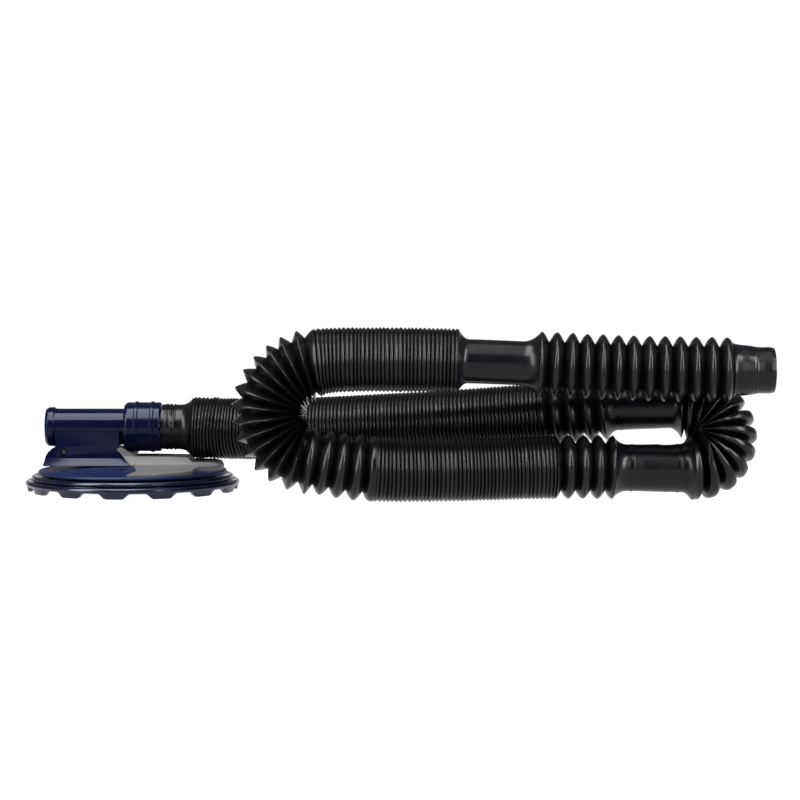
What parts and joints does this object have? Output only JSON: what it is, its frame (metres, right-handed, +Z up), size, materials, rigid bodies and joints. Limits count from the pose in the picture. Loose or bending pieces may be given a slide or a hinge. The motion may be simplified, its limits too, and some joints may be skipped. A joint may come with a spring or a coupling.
{
  "type": "suction pool cleaner",
  "caption": "Suction pool cleaner head on a round lobed disc, with a swinging hammer inside, a swivel collar and a folded bellows hose ending in a plain connector.",
  "frame": {"origin": "on the floor, under the centre of the round disc of the cleaner head", "axes": "+Z up, +X along the suction tube from its closed end towards the swivel and hose, +Y to the side away from the folded hose"},
  "size_m": [0.7995, 0.3103, 0.1836],
  "materials": {
    "navy_gloss": "gloss",
    "navy_skirt": "satin",
    "light_grey": "satin",
    "hose_black": "satin",
    "cuff_black": "gloss",
    "black_rubber": "matte",
    "white_acetal": "satin",
    "hammer_blue": "satin",
    "stainless": "brushed",
    "ballast_iron": "coated"
  },
  "bodies": {
    "head": {"deck": "navy_gloss", "body_shell_near": "navy_gloss", "body_shell_far": "navy_gloss", "tube_end_cap": "navy_gloss", "nose_cover": "light_grey", "ballast_weight": "ballast_iron", "hammer_bush_near": "white_acetal", "hammer_bush_far": "white_acetal", "stop_pad_rear": "black_rubber", "stop_pad_front": "black_rubber", "disc_race": "white_acetal", "inlet_shoe": "black_rubber", "swivel_bush_rear": "white_acetal", "swivel_bush_front": "white_acetal", "swivel_seal": "black_rubber", "retaining_ring": "stainless", "case_screw_near": "stainless", "case_screw_far": "stainless", "deck_screw_1": "stainless", "deck_screw_2": "stainless", "deck_screw_3": "stainless", "deck_screw_4": "stainless", "hose_head_cuff": "cuff_black", "hose_run_middle": "hose_black", "hose_cuff_middle": "cuff_black", "hose_bend_right": "hose_black", "hose_cuff_low": "cuff_black", "hose_run_low": "hose_black", "hose_bend_left": "hose_black", "hose_run_top": "hose_black", "hose_cuff_top": "cuff_black", "hose_run_end": "hose_black", "hose_end_connector": "cuff_black"},
    "disc": {"disc_hub": "navy_gloss", "skirt_clamp": "navy_gloss", "disc_skirt": "navy_skirt"},
    "hammer": {"hammer": "hammer_blue", "hammer_pin": "stainless"},
    "swivel": {"swivel_collar": "navy_gloss"}
  },
  "joints": [
    {"name": "disc_spin", "type": "hinge", "parent": "head", "child": "disc", "pos_m": [0, 0, 0.012], "axis": [0, 0, 1], "continuous": true},
    {"name": "hammer_swing", "type": "hinge", "parent": "head", "child": "hammer", "pos_m": [-0.04, 0, 0.052], "axis": [0, 1, 0], "range_deg": [-24, 24]},
    {"name": "swivel_spin", "type": "hinge", "parent": "head", "child": "swivel", "pos_m": [0.01, 0, 0.0695], "axis": [1, 0, 0], "continuous": true}
  ]
}
